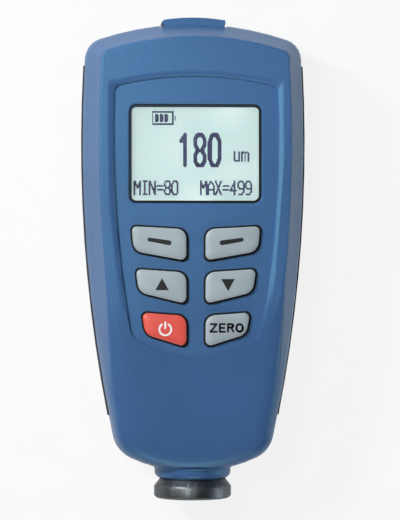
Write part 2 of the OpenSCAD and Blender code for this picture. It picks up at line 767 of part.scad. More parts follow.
// Openings in the back: the door's channel with its grooves, and the bay above it
module bay_cut() {
    box(-door_half - slide_fit, door_half + slide_fit, -over, door_s1 + slide_fit, -over, channel_z);
    box(-door_half - tongue_w - slide_fit, door_half + tongue_w + slide_fit, -over,
        door_s1 + slide_fit, door_z + door_t - tongue_t - fit, channel_z);
    box(-bay_half, bay_half, bay_s0, bay_s1, 0, bay_top_z);
}
module rear_shell() {
    color("#3f6aa0") in_frame() difference() {
        union() {
            difference() {
                loft(back_rings(0, 0));
                loft(concat(back_rings(wall, wall), [flat_ring(crisp_outline(wall), part_z + over)]));
            }
            intersection() {
                loft(back_rings(wall / 2, wall / 2));
                union() {
                    box(-door_half - tongue_w - wall, door_half + tongue_w + wall, 0,
                        bay_s1 + bay_wall + wall, wall / 2, rear_floor_z);
                    box(-bay_half - bay_wall, bay_half + bay_wall, bay_s0 - bay_wall, bay_s1 + bay_wall,
                        wall / 2, part_z);
                    difference() {
                        saddle(wall / 2, part_z);
                        bar(spigot_r + fit, saddle_s - saddle_t, saddle_s + saddle_t);
                    }
                    for (p = case_screw_places)
                        translate([p[0], p[1], wall / 2])
                            cylinder(r = boss_r, h = part_z - wall / 2);
                    for (x = [-1, 1])
                        box(x * port_board_w / 2 - wall, x * port_board_w / 2 + wall, port_board_s0,
                            port_board_s1, wall / 2, port_board_z);
                }
            }
            box(-bay_half - bay_wall, bay_half + bay_wall, bay_s0 - bay_wall, bay_s1 + bay_wall,
                part_z - sink, bay_top_z + bay_wall);
            lower_half() neck();
            lower_half() hinge_ear();
        }
        bar(spigot_r + fit, neck_s - over, neck_in_s);
        bay_cut();
        for (p = case_screw_places)
            translate([p[0], p[1], 0]) {
                translate([0, 0, -over])
                    cylinder(r = case_screw_head_r + recess_gap, h = case_screw_seat_z + over);
                cylinder(r = case_screw_r + fit, h = part_z + over);
            }
        port_cut_clear();
        for (side = [-1, 1])
            key_hand(side)
                grip_strip(over, fit / 2);
    }
}
module grip(side) {
    color("#2e3030") in_frame()
        key_hand(side)
            grip_strip(0, 0);
}
module left_grip() {
    grip(-1);
}
module right_grip() {
    grip(1);
}

module display_window() {
    color("#e4f2ee") in_frame()
        rounded_plate(window_plate_w, window_plate_h, window_plate_r, window_s, ceiling_z, window_top_z);
}
module display_gasket() {
    color("#303234") in_frame() difference() {
        rounded_plate(lcd_w, lcd_h, lcd_corner, window_s, lcd_top_z, ceiling_z);
        rounded_plate(window_w + lcd_margin, window_h + lcd_margin, window_corner, window_s,
                      lcd_top_z - over, ceiling_z + over);
    }
}
module lcd_panel() {
    color("#d2eae6") in_frame()
        rounded_plate(lcd_w, lcd_h, lcd_corner, window_s, lcd_z, lcd_top_z);
}
module lcd_backlight() {
    color("#f4f4ec") in_frame()
        rounded_plate(lcd_w, lcd_h, lcd_corner, window_s, board_top_z, lcd_z);
}
module lcd_holder() {
    color("#3a3c3e") in_frame() difference() {
        rounded_plate(lcd_w + 2 * fit + 2 * holder_wall, lcd_h + 2 * fit + 2 * holder_wall,
                      lcd_corner + holder_wall, window_s, board_top_z, lcd_top_z);
        rounded_plate(lcd_w + 2 * fit, lcd_h + 2 * fit, lcd_corner, window_s, board_top_z - over,
                      lcd_top_z + over);
        box(-ribbon_w / 2 - fit, ribbon_w / 2 + fit, window_s, window_s + lcd_h, board_top_z - over,
            lcd_z + ribbon_t + fit);
    }
}
// The display's flexible lead leaves its upper edge and comes down on the board
ribbon_w = 18;
ribbon_t = 0.25;
ribbon_foot = 1.6;
module lcd_ribbon() {
    edge = window_s + lcd_h / 2;
    out = edge + holder_wall + 2 * fit;
    color("#b8863a") in_frame()
        translate([-ribbon_w / 2, 0, 0])
            rotate([90, 0, 90])
                linear_extrude(ribbon_w)
                    polygon([[edge + fit, lcd_z], [edge + fit, lcd_z + ribbon_t], [out, lcd_z + ribbon_t],
                             [out + ribbon_t, board_top_z + ribbon_t],
                             [out + ribbon_t + ribbon_foot, board_top_z + ribbon_t],
                             [out + ribbon_t + ribbon_foot, board_top_z], [out, board_top_z],
                             [out - ribbon_t, lcd_z]]);
}

module main_board() {
    half = board_outline();
    left_points = [for (i = [len(half) - 2 : -1 : 1]) [-half[i][0], half[i][1]]];
    color("#2f6b3f") in_frame() difference() {
        translate([0, 0, board_z])
            linear_extrude(board_t)
                polygon(concat(half, left_points));
        for (p = board_screw_places)
            translate([p[0], p[1], board_z - over])
                cylinder(r = board_screw_r + fit, h = board_t + 2 * over);
    }
}
module board_screws() {
    color("#c0c4c8") in_frame()
        for (p = board_screw_places)
            translate([p[0], p[1], board_z]) {
                cylinder(r = board_screw_r, h = board_t + board_screw_len - fit);
                translate([0, 0, -board_screw_head_t])
                    cylinder(r = board_screw_head_r, h = board_screw_head_t);
            }
}
chip_w = 10;
chip_t = 1;
module controller_chip() {
    color("#26282a") in_frame()
        box(-chip_w / 2, chip_w / 2, window_s - chip_w / 2, window_s + chip_w / 2, board_z - chip_t, board_z);
}
buzzer_r = 4.5;
buzzer_t = 3.2;
buzzer_x = 14;
buzzer_hole_r = 0.8;
module buzzer() {
    color("#1e2022") in_frame()
        translate([buzzer_x, window_s, board_z - buzzer_t])
            difference() {
                cylinder(r = buzzer_r, h = buzzer_t);
                translate([0, 0, -over])
                    cylinder(r = buzzer_hole_r, h = buzzer_t / 2 + over);
            }
}

module left_soft_key() {
    color("#a9b5bc") key(0, -1);
}
module right_soft_key() {
    color("#a9b5bc") key(0, 1);
}
module up_key() {
    color("#a9b5bc") key(1, -1);
}
module down_key() {
    color("#a9b5bc") key(1, 1);
}
module power_key() {
    color("#e8604f") key(2, -1);
}
module zero_key() {
    color("#a9b5bc") key(2, 1);
}
module key_mat() {
    color("#5a5e62") in_frame() difference() {
        pad(fit, board_top_z, board_top_z + mat_t);
        for (row = [0 : 2], side = [-1, 1])
            translate([side * key_centre(row)[0], key_centre(row)[1], board_top_z - over])
                cylinder(r = mat_well_r, h = mat_t + 2 * over);
    }
}
module snap_domes() {
    color("#d0d4d8") in_frame()
        for (row = [0 : 2], side = [-1, 1])
            translate([side * key_centre(row)[0], key_centre(row)[1], board_top_z])
                cylinder(r1 = dome_r, r2 = dome_top_r, h = dome_t);
}

module case_screws() {
    color("#b4b8bc") in_frame()
        for (p = case_screw_places)
            translate([p[0], p[1], case_screw_seat_z]) {
                cylinder(r = case_screw_r, h = case_screw_end_z - case_screw_seat_z);
                translate([0, 0, -case_screw_head_t])
                    difference() {
                        cylinder(r = case_screw_head_r, h = case_screw_head_t);
                        for (a = [0, 90])
                            rotate(a)
                                translate([0, 0, case_screw_head_t / 4])
                                    cube([case_screw_head_r, case_screw_head_r / 4,
                                          case_screw_head_t / 2 + sink], center = true);
                    }
            }
}

module port_board() {
    color("#2f6b3f") in_frame()
        box(-port_board_w / 2, port_board_w / 2, port_board_s0, port_board_s1, port_board_z,
            port_board_z + port_board_t);
}
usb_wall = 0.5;
tongue_share = 0.25;
module usb_socket() {
    z = port_board_z + port_board_t;
    color("#c4c8cc") in_frame() difference() {
        box(-usb_w / 2, usb_w / 2, port_board_s1 - usb_len, port_board_s1, z, z + usb_h);
        difference() {
            box(-usb_w / 2 + usb_wall, usb_w / 2 - usb_wall, port_board_s1 - usb_len + usb_wall * 2,
                port_board_s1 + over, z + usb_wall, z + usb_h - usb_wall);
            box(-usb_w / 4, usb_w / 4, port_board_s1 - usb_len, port_board_s1 - usb_wall,
                z + usb_h / 2 - usb_h * tongue_share / 2, z + usb_h / 2 + usb_h * tongue_share / 2);
        }
    }
}
port_ribbon_w = 8;
// The port's flexible lead climbs from its board to the main board
module port_ribbon() {
    low_z = port_board_z + port_board_t;
    foot_s = port_board_s0 + ribbon_foot;
    bend_s = port_board_s0 - ribbon_foot / 2;
    top_s = bend_s - ribbon_foot * 2;
    color("#b8863a") in_frame()
        translate([-port_ribbon_w / 2, 0, 0])
            rotate([90, 0, 90])
                linear_extrude(port_ribbon_w)
                    polygon([[foot_s, low_z], [foot_s, low_z + ribbon_t],
                             [bend_s + ribbon_t, low_z + ribbon_t], [bend_s + ribbon_t, board_z],
                             [top_s, board_z], [top_s, board_z - ribbon_t],
                             [bend_s, board_z - ribbon_t], [bend_s, low_z]]);
}
// Section of the cover across its hinge pin, from its lifting lip to its square end
cover_n = 8;
module cover_section() {
    top_c = [0, cover_top_s - cover_top_r];
    a0 = acos(cover_half / cover_top_r);
    a1 = acos(-(cover_half - 2 * lip_in) / cover_top_r);
    lip_top = top_c + cover_top_r * [cos(a1), sin(a1)];
    difference() {
        polygon(concat([for (i = [0 : cover_n]) let (a = mix(a0, a1, i / cover_n))
                            top_c + cover_top_r * [cos(a), sin(a)]],
                       [mix(lip_top, [-cover_half, lip_s + lip_t], lip_round_share) + [0, lip_t / 4],
                        [-cover_half, lip_s + lip_t / 2], [-cover_half + lip_in / 2, lip_s],
                        [-cover_half + lip_in, cover_low_s + lip_t], [-cover_half + lip_in, cover_low_s],
                        [cover_half, cover_low_s]]));
        difference() {
            translate([hinge_x, cover_low_s - over])
                square([knuckle_r + over, knuckle_r + over]);
            translate([hinge_x, hinge_s])
                circle(knuckle_r);
        }
    }
}
module port_cover() {
    color("#38609a") in_frame() difference() {
        union() {
            translate([0, 0, part_z - cover_h / 2])
                linear_extrude(cover_h)
                    cover_section();
            box(-port_w / 2 + port_gap, port_w / 2 - port_gap, cover_low_s - plug_depth, cover_low_s + sink,
                part_z - port_h / 2 + port_gap, part_z + port_h / 2 - port_gap);
        }
        box(notch_x, cover_half + over, cover_low_s - over, cover_top_s + over,
            part_z - ear_h / 2 - ear_gap, part_z + ear_h / 2 + ear_gap);
        translate([hinge_x, hinge_s, part_z - cover_h])
            cylinder(r = pin_r + running, h = 1.5 * cover_h - pin_cover_t, $fn = 32);
    }
}
// The pin goes in from the back, and the cover closes over its other end
module cover_pin() {
    color("#c0c4c8") in_frame()
        translate([hinge_x, hinge_s, part_z - cover_h / 2 + cover_lift])
            cylinder(r = pin_r, h = cover_h - 2 * cover_lift - pin_cover_t, $fn = 32);
}

door_ribs = 6;
rib_pitch = 1.6;
rib_depth = 0.4;
rib_w = 0.8;
rib_len = 14;
rib_from_end = 6;
module battery_door() {
    color("#3a6294") in_frame() intersection() {
        difference() {
            union() {
                box(-door_half, door_half, door_s0, door_s1, door_z, door_z + door_t);
                box(-door_half - tongue_w, door_half + tongue_w, door_s0, door_s1,
                    door_z + door_t - tongue_t, door_z + door_t);
            }
            for (i = [0 : door_ribs - 1])
                box(-rib_len / 2, rib_len / 2, door_s1 - rib_from_end - i * rib_pitch - rib_w,
                    door_s1 - rib_from_end - i * rib_pitch, door_z - over, door_z + rib_depth);
        }
        loft(back_rings(0, 0));
    }
}
// A cell: its can with a positive nub at one end
nub_radius = 1.9;
rim_depth = 0.3;
rim_share = 0.72;
module cell(x, up) {
    translate([x, cell_s0 + (up ? spring_len - nub_len : 0) + (up ? 0 : cell_len), cell_z])
        rotate([up ? -90 : 90, 0, 0]) {
            difference() {
                cylinder(r = cell_r, h = cell_len);
                translate([0, 0, -over])
                    cylinder(r = cell_r * rim_share, h = over + rim_depth / 2);
            }
            cylinder(r = nub_radius, h = cell_len + nub_len);
        }
}
module left_cell() {
    color("#5c6266") in_frame() cell(-cell_x, true);
}
module right_cell() {
    color("#5c6266") in_frame() cell(cell_x, false);
}
battery_wire_r = 0.25;
coil_turns = 3;
coil_steps = 14;
coil_wide_share = 0.7;
coil_tip_share = 0.4;
// One tapering contact spring, from a plate to a cell's flat end
module contact_spring(x, s, way) {
    count = coil_turns * coil_steps;
    swept([for (i = [0 : count])
        let (t = i / count, r = cell_r * mix(coil_wide_share, coil_tip_share, t), a = 360 * i / coil_steps)
        [x + r * cos(a), s + way * mix(battery_wire_r, spring_len - battery_wire_r - fit, t),
         cell_z + way * r * sin(a)]],
          battery_wire_r, 6);
}
module battery_springs() {
    color("#c8ccd0") in_frame() {
        contact_spring(-cell_x, bay_s0 + plate_t + fit, 1);
        contact_spring(cell_x, bay_s1 - plate_t - fit, -1);
    }
}
module battery_plates() {
    color("#d0b060") in_frame() {
        box(-bay_half + fit, bay_half - fit, bay_s0, bay_s0 + plate_t, channel_z + bay_gap,
            bay_top_z - bay_gap);
        for (x = [-1, 1])
            box(x * cell_x - cell_r + cell_gap, x * cell_x + cell_r - cell_gap, bay_s1 - plate_t, bay_s1,
                channel_z + bay_gap, bay_top_z - bay_gap);
    }
}

// The turned cap: a chamfered head outside the neck and a spigot inside it
module probe_cap() {
    color("#4a4e50") in_frame() turned()
        difference() {
            polygon([[bore_r, 0], [cap_r - cap_edge, 0], [cap_r, cap_edge],
                     [cap_r, cap_h - cap_chamfer_h], [cap_r - cap_chamfer_w, cap_h],
                     [spigot_r, cap_h], [spigot_r, spigot_s1], [bore_r, spigot_s1]]);
            translate([0, seal_s - seal_r - fit])
                square([bore_r + 2 * seal_r + fit, 2 * seal_r + 2 * fit]);
        }
}
module probe_seal() {
    color("#202224") in_frame() turned()
        translate([bore_r + seal_r, seal_s])
            circle(seal_r, $fn = 24);
}
module probe_sleeve() {
    color("#a8acb0") in_frame() turned()
        difference() {
            translate([sleeve_in_r, sleeve_s0])
                square([sleeve_wall, sleeve_len]);
            translate([0, clip_s - fit])
                square([sleeve_in_r + clip_depth + fit, clip_t + 2 * fit]);
        }
}
module sensor_plunger() {
    color("#b8bcc0") in_frame() turned()
        polygon([[pot_r, face_s], [plunger_r, face_s], [plunger_r, flange_s0],
                 [sleeve_in_r - running, flange_s0], [sleeve_in_r - running, flange_s0 + flange_t],
                 [stem_r, flange_s0 + flange_t], [stem_r, flange_s0 + flange_t + stem_len],
                 [0, flange_s0 + flange_t + stem_len], [0, pot_s1], [pot_r, pot_s1]]);
}
module sensor_coil() {
    color("#b87333") in_frame() turned()
        translate([coil_in_r, face_s + face_t + fit])
            square([pot_r - fit - coil_in_r, coil_s1 - face_s - face_t]);
}
module sensor_core() {
    color("#8a8e92") in_frame() {
        bar(core_r, core_r - tip_proud, pot_s1 - fit);
        translate([0, core_r - tip_proud, part_z])
            sphere(core_r);
    }
}
module sensor_face() {
    color("#1c1e20") in_frame() turned()
        translate([coil_in_r, face_s])
            square([pot_r - fit / 2 - coil_in_r, face_t]);
}
spring_steps = 14;
module probe_spring() {
    s0 = flange_s0 + flange_t + wire_r + fit;
    s1 = plug_s - wire_r - fit;
    count = spring_turns * spring_steps;
    color("#c0c4c8") in_frame()
        swept([for (i = [0 : count]) let (a = 360 * i / spring_steps)
            [spring_r * cos(a), mix(s0, s1, i / count), part_z + spring_r * sin(a)]], wire_r, 6);
}
module sleeve_plug() {
    color("#2c2e30") in_frame() turned()
        translate([lead_r + fit, plug_s])
            square([sleeve_in_r - fit - lead_r - fit, plug_t]);
}
module sleeve_clip() {
    color("#9a9ea2") in_frame() turned()
        translate([sleeve_in_r - 2 * clip_depth, clip_s])
            square([3 * clip_depth, clip_t]);
}
// The probe's lead climbs from the plug over the battery bay to its socket on the board
lead_sides = 8;
socket_w = 6;
socket_len = 5;
// The socket takes this share of the room between the bay and the board
socket_share = 0.41;
socket_t = socket_share * (board_z - bay_top_z - bay_wall);
socket_rise = 4;
socket_s = bay_s0 + socket_rise;
lead_steps = 8;
module probe_lead() {
    s0 = plug_s + plug_t / 2;
    s1 = socket_s - fit;
    z1 = board_z - max(socket_t / 2, lead_r + fit);
    bend = (s1 - sleeve_s1) / 2;
    color("#26282a") in_frame()
        swept(concat([[0, s0, part_z]],
                     [for (i = [0 : lead_steps]) let (t = i / lead_steps)
                         [0, mix(sleeve_s1, s1 - bend / 2, t), mix(part_z, z1, smooth(t))]],
                     [[0, s1, z1]]), lead_r, lead_sides);
}
module probe_socket() {
    color("#e8e4d8") in_frame() difference() {
        box(-socket_w / 2, socket_w / 2, socket_s, socket_s + socket_len, board_z - socket_t, board_z);
        box(-socket_w / 2 + usb_wall, socket_w / 2 - usb_wall, socket_s + socket_len / 2,
            socket_s + socket_len + over, board_z - socket_t + usb_wall, board_z - usb_wall);
    }
}

front_shell();
rear_shell();
left_grip();
right_grip();
display_window();
display_gasket();
lcd_panel();
lcd_backlight();
lcd_holder();
lcd_ribbon();
main_board();
board_screws();
controller_chip();
buzzer();
left_soft_key();
right_soft_key();
up_key();
down_key();
power_key();
zero_key();
key_mat();
snap_domes();
case_screws();
port_board();
usb_socket();
port_ribbon();
port_cover();
cover_pin();
battery_door();
left_cell();
right_cell();
battery_springs();
battery_plates();
probe_cap();
probe_seal();
probe_sleeve();
sensor_plunger();
sensor_coil();
sensor_core();
sensor_face();
probe_spring();
sleeve_plug();
sleeve_clip();
probe_lead();
probe_socket();
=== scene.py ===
# %% [markdown]
# # A coating thickness gauge, dressed for the camera
# The gauge lies on its back and is looked at from above. Its measured solids come first, as a fixed
# frame: they say where everything is. Blender then gives each of them its real surface, and rebuilds
# the ones whose form has to be finer than the solids are.

# %% Load the measured model
import json
import math

import bmesh
import bpy
from mathutils import Matrix, Vector


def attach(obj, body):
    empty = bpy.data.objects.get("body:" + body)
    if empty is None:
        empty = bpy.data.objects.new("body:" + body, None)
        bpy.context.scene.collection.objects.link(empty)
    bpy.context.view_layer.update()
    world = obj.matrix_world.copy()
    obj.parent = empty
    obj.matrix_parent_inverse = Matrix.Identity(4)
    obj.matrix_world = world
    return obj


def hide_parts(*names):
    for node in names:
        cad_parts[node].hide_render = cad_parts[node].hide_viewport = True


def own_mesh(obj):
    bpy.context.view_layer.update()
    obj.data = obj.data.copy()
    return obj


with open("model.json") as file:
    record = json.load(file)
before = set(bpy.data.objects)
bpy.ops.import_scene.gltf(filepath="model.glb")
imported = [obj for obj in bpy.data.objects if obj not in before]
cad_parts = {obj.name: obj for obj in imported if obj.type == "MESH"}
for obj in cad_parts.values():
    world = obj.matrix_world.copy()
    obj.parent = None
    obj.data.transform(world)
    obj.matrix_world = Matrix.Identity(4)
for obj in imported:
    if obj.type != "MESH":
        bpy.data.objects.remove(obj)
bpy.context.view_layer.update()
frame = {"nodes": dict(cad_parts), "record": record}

MM = 0.001
MIDDLE_S = 62.325  # from the probe's rim to the frame's origin
CASE_TOP_S = 123.6  # the top end of the case
PARTING_Z = 13.0  # where the two shells meet, which is also the height of the probe's axis


# %% [markdown]
# ## Places
# Lengths along the gauge are given from the rim of the probe cap, as on a drawing. One function turns
# such a place into the frame's coordinates in metres, so that no number below needs converting.

# %% A place on the gauge
def at(x, along, z):
    """The point x mm across, so many mm from the probe's rim, and z mm above the table."""
    return Vector((x, along - MIDDLE_S, z)) * MM


print("top of the case at", tuple(round(v, 4) for v in at(0, CASE_TOP_S, PARTING_Z)))

# %% [markdown]
# ## Camera
# The photograph looks straight down on the face from about 0.6 m, a few degrees from the left, with
# a long lens. A plain perspective camera stands there, and its lens makes the gauge as large in the
# frame as it is in the photograph.

# %% Camera
EYE = Vector((-31.4, -0.225, 613.0)) * MM
AIM = Vector((1.97, -0.225, PARTING_Z)) * MM
camera = bpy.data.objects.new("photo_camera", bpy.data.cameras.new("photo_camera"))
camera.data.lens = 158.5
camera.data.sensor_width = 36.0
camera.location = EYE
camera.rotation_euler = (0, -math.atan2(AIM.x - EYE.x, EYE.z - AIM.z), 0)
bpy.context.scene.collection.objects.link(camera)
bpy.context.scene.camera = camera
print("camera", round((AIM - EYE).length, 3), "m away")


# %% [markdown]
# ## Shader nodes
# Every finish below is built from shader nodes. Helpers keep that short: one turns the hex colour
# that a paint chart gives into the linear numbers that Blender calculates with, and one adds a node
# with its settings, values and links. A third finds a node again by its kind, so that a finish can be
# given something more.

# %% Helpers for shader nodes
def linear(hex_colour):
    """The linear colour of an sRGB hex value."""
    parts = [int(hex_colour[i:i + 2], 16) / 255 for i in (1, 3, 5)]
    return [*(v / 12.92 if v <= 0.04045 else ((v + 0.055) / 1.055) ** 2.4 for v in parts), 1.0]


def add(tree, kind, values=None, links=None, **settings):
    """Adds one node: its settings, the values of its sockets, and what is linked to them."""
    made = tree.nodes.new(kind)
    for name, value in settings.items():
        setattr(made, name, value)
    for socket, value in (values or {}).items():
        made.inputs[socket].default_value = value
    for socket, source in (links or {}).items():
        tree.links.new(source, made.inputs[socket])
    return made


def node_of(tree, kind):
    """The first node of a kind in a tree."""
    return next(node for node in tree.nodes if node.type == kind)


print("mid grey is", round(linear("#808080")[0], 3))


# %% [markdown]
# ## One recipe for a finish
# A real surface is never one flat colour. Each finish has a slow drift of colour, as from pigment or
# handling, and a fine grain that changes both how rough it is and how it catches the light. The same
# recipe serves moulded plastic, rubber, metal and glass: what differs is the colours, the size of the
# grain in millimetres, its depth, and how it is stretched, as by a brush or a lathe.

# %% The recipe
def finish(name, colours, grain=0.3, depth=0.01, rough=(0.4, 0.5), drift=9.0, stretch=(1, 1, 1),
           **sockets):
    """A material with drifting colour, and roughness and bump from a grain of a size in mm."""
    material = bpy.data.materials.new(name)
    material.use_nodes = True
    tree = material.node_tree
    tree.nodes.clear()
    place = add(tree, "ShaderNodeTexCoord")
    cloud = add(tree, "ShaderNodeTexNoise", {"Scale": 1 / (drift * MM), "Detail": 3.0},
                {"Vector": place.outputs["Object"]})
    tint = add(tree, "ShaderNodeValToRGB", links={"Fac": cloud.outputs["Fac"]})
    for stop, colour, share in zip(tint.color_ramp.elements, colours, (0.36, 0.64)):
        stop.color, stop.position = linear(colour), share
    turned = add(tree, "ShaderNodeMapping", {"Scale": stretch}, {"Vector": place.outputs["Object"]})
    fine = add(tree, "ShaderNodeTexNoise", {"Scale": 1 / (grain * MM), "Detail": 2.0},
               {"Vector": turned.outputs["Vector"]})
    dull = add(tree, "ShaderNodeMapRange",
               {"From Min": 0.3, "From Max": 0.7, "To Min": rough[0], "To Max": rough[1]},
               {"Value": fine.outputs["Fac"]})
    bump = add(tree, "ShaderNodeBump", {"Strength": 1.0, "Distance": depth * MM},
               {"Height": fine.outputs["Fac"]})
    shader = add(tree, "ShaderNodeBsdfPrincipled", sockets,
                 {"Base Color": tint.outputs["Color"], "Roughness": dull.outputs["Result"],
                  "Normal": bump.outputs["Normal"]})
    add(tree, "ShaderNodeOutputMaterial", links={"Surface": shader.outputs["BSDF"]})
    return material


print("recipe ready")

# %% [markdown]
# ## Finishes of the outside
# The case is injection-moulded ABS with a fine spark-eroded texture from its mould, which spreads
# the highlights along its bevels. A pearl pigment in the plastic tints those highlights. The grips are
# black thermoplastic rubber, duller and coarser. The keys are satin plastic. The probe cap is turned
# and blackened metal, with rings left by the tool.

# %% Case, grips and keys
FINISH = {}
PEARL = {"Specular Tint": linear("#A4F4FF"), "Specular IOR Level": 0.6}
FINISH["case_abs"] = finish("blue_abs_spark_textured", ("#3B5B8B", "#3F6193"), grain=0.45, depth=0.06,
                            rough=(0.36, 0.46), drift=30.0, IOR=1.53, **PEARL)
FINISH["cover_abs"] = finish("cover_abs_spark_textured", ("#3B5A8A", "#3F6092"), grain=0.45, depth=0.06,
                             rough=(0.40, 0.52), drift=12.0, IOR=1.53, **PEARL)
FINISH["grip_rubber"] = finish("black_rubber_moulded", ("#26282A", "#303335"), grain=0.6, depth=0.05,
                               rough=(0.60, 0.78), IOR=1.50)
FINISH["key_grey"] = finish("grey_key_plastic_satin", ("#96A3A8", "#A0ADB2"), grain=0.4, depth=0.006,
                            rough=(0.36, 0.44), IOR=1.50)
FINISH["key_red"] = finish("red_key_plastic_satin", ("#D84F44", "#E2594D"), grain=0.4, depth=0.006,
                           rough=(0.36, 0.44), IOR=1.50)
FINISH["probe_metal"] = finish("cap_metal_turned_blackened", ("#5A5F62", "#686D70"), grain=0.5,
                               depth=0.012, rough=(0.40, 0.52), stretch=(0.15, 1.6, 0.15), Metallic=1.0)
print(len(FINISH), "finishes of the outside")

# %% [markdown]
# ## The display's finishes
# The window is clear acrylic, which bends light a little less than glass does. The liquid crystal panel
# behind it gives off a pale green-white light of its own. Part of this is its backlight, and part is
# painted light in place of the lamplight that would fall on it through the window. Two places

# %% Window and display
# the display's glow: partly its backlight, partly painted light in place of the lamplight through the
# window
BACKLIGHT_AND_PAINTED_LIGHT = 0.6
GLOW = 0.24  # how much brighter the two places are
GLOW_REACH = 6.5  # how far each of them spreads, in mm
GLOWING = ((1.4, 77.4), (8.0, 101.0))  # their middles, across and along
FINISH["window_acrylic"] = finish("clear_acrylic_polished", ("#F4FBF9", "#FAFFFD"), grain=0.8,
                                  depth=0.0005, rough=(0.01, 0.03), IOR=1.49,
                                  **{"Transmission Weight": 1.0})
FINISH["lcd_glass"] = finish("lcd_polariser_backlit_and_painted_light", ("#C2D2D2", "#CAD8D8"), grain=0.5, depth=0.001,
                             rough=(0.30, 0.36), IOR=1.50,
                             **{"Emission Color": linear("#D8EAEA"), "Emission Strength": BACKLIGHT_AND_PAINTED_LIGHT})
lcd = FINISH["lcd_glass"].node_tree
per_reach = 1 / (GLOW_REACH * MM)
glows = []
for across, along in GLOWING:
    seat = -at(across, along, 0) * per_reach
    here = add(lcd, "ShaderNodeMapping",
               {"Location": (seat.x, seat.y, 0), "Scale": (per_reach, per_reach, 0)},
               {"Vector": node_of(lcd, "TEX_COORD").outputs["Object"]})
    glow = add(lcd, "ShaderNodeTexGradient", links={"Vector": here.outputs["Vector"]},
               gradient_type="SPHERICAL")
    glows.append(glow.outputs["Fac"])
both = add(lcd, "ShaderNodeMath", links={0: glows[0], 1: glows[1]}, operation="ADD")
lit = add(lcd, "ShaderNodeMath", {1: GLOW, 2: BACKLIGHT_AND_PAINTED_LIGHT}, {0: both.outputs[0]}, operation="MULTIPLY_ADD")
lcd.links.new(lit.outputs[0], node_of(lcd, "BSDF_PRINCIPLED").inputs["Emission Strength"])
FINISH["lcd_dark"] = finish("lcd_dots_dark", ("#4C4C80", "#56568A"), rough=(0.3, 0.36), IOR=1.5)
FINISH["light_guide"] = finish("light_guide_milky", ("#E6E8E0", "#F0F2EA"), rough=(0.25, 0.3), IOR=1.49)
FINISH["gasket_foam"] = finish("gasket_foam_closed_cell", ("#1E1F21", "#2A2B2E"), grain=0.25, depth=0.05,
                               rough=(0.8, 0.9), IOR=1.40)
print("display finishes ready")

# %% [markdown]
# ## Finishes of the inside
# What sits inside is seen only through the battery bay and the port, but it is real material too:
# black moulded holders, green solder resist, amber flexible film, zinc-plated steel and brass.

# %% Parts inside the case
INSIDE = {
    "black_plastic": dict(name="black_plastic_moulded", colours=("#1D1E20", "#26282A"),
                          rough=(0.4, 0.55)),
    "flex_film": dict(name="flexible_film_amber", colours=("#9A6A2C", "#B07C36"), rough=(0.25, 0.35)),
    "circuit_board": dict(name="solder_resist_green", colours=("#1F5A34", "#2A6B40"),
                          rough=(0.3, 0.4)),
    "key_mat_silicone": dict(name="key_mat_silicone", colours=("#08090A", "#0E0F10"),
                             rough=(0.7, 0.8), IOR=1.41),
    "steel": dict(name="steel_zinc_plated", colours=("#B4B8BC", "#C4C8CC"), rough=(0.25, 0.4),
                  Metallic=1.0, stretch=(0.3, 1.5, 0.3)),
    "contact_brass": dict(name="brass_strip_plated", colours=("#C8A860", "#D6B870"),
                          rough=(0.2, 0.35), Metallic=1.0),
    "cell_sleeve": dict(name="cell_sleeve_printed_film", colours=("#4A4E54", "#585C62"),
                        rough=(0.2, 0.3), Metallic=0.4),
    "seal_rubber": dict(name="seal_rubber_smooth", colours=("#18191A", "#202122"), rough=(0.5, 0.6)),
    "coil_copper": dict(name="copper_wire_enamelled", colours=("#A85A28", "#BC6C34"),
                        rough=(0.25, 0.35), Metallic=1.0, stretch=(1, 8, 1)),
}
for slot_name, look in INSIDE.items():
    FINISH[slot_name] = finish(**look)
slots = {part["node"]: part["material_slot"] for part in frame["record"]["subparts"]}
for node_name, solid in frame["nodes"].items():
    solid.data.materials.clear()
    solid.data.materials.append(FINISH[slots[node_name]])
print(len(FINISH), "finishes on", len(slots), "solids")


# %% [markdown]
# ## From a solid to a smooth piece
# A measured solid arrives as loose triangles, so it can't be shaded smoothly and its edges are as
# sharp as on a drawing. A copy has its doubles merged and its flat faces made whole, then a small
# bevel breaks each real edge, as a mould does, and the faces between are shaded smooth.

# %% Helpers that make a piece from a bmesh
home = {node: body for body, nodes in frame["record"]["behaviour"]["bodies"].items() for node in nodes}
print(len(home), "solids know the body that they ride on")


def placed(name, work, finish_name):
    """Turns a bmesh into an object with a finish."""
    mesh = bpy.data.meshes.new(name)
    work.to_mesh(mesh)
    work.free()
    mesh.materials.append(FINISH[finish_name])
    made = bpy.data.objects.new(name, mesh)
    bpy.context.scene.collection.objects.link(made)
    return made


def thickened(work, thickness):
    """Gives the flat faces of a bmesh a thickness in mm."""
    raised = bmesh.ops.extrude_face_region(work, geom=work.faces[:])
    bmesh.ops.translate(work, vec=(0, 0, thickness * MM),
                        verts=[v for v in raised["geom"] if isinstance(v, bmesh.types.BMVert)])
    bmesh.ops.recalc_face_normals(work, faces=work.faces)


def piece(name, work, body, slot_name, smooth_to=35.0, bevel=0.0):
    """Turns a bmesh into a piece that rides on a body, with its finish and its shading."""
    made = placed(name, work, slot_name)
    mesh = made.data
    mesh.shade_smooth()
    if bevel:
        rounding = made.modifiers.new("edge", "BEVEL")
        rounding.width = bevel * MM
        rounding.segments = 2
        rounding.limit_method = "ANGLE"
        rounding.angle_limit = math.radians(smooth_to)
    else:
        mesh.set_sharp_from_angle(angle=math.radians(smooth_to))
    flatter = made.modifiers.new("flat_faces_stay_flat", "WEIGHTED_NORMAL")
    flatter.mode = "FACE_AREA"
    flatter.weight = 80
    flatter.keep_sharp = True
    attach(made, body)
    return made


def merged(node_name):
    """A bmesh of a solid with its doubles merged and its flat faces whole."""
    work = bmesh.new()
    work.from_mesh(frame["nodes"][node_name].data)
    bmesh.ops.remove_doubles(work, verts=work.verts, dist=0.001 * MM)
    bmesh.ops.dissolve_limit(work, angle_limit=math.radians(0.5), verts=work.verts, edges=work.edges)
    return work


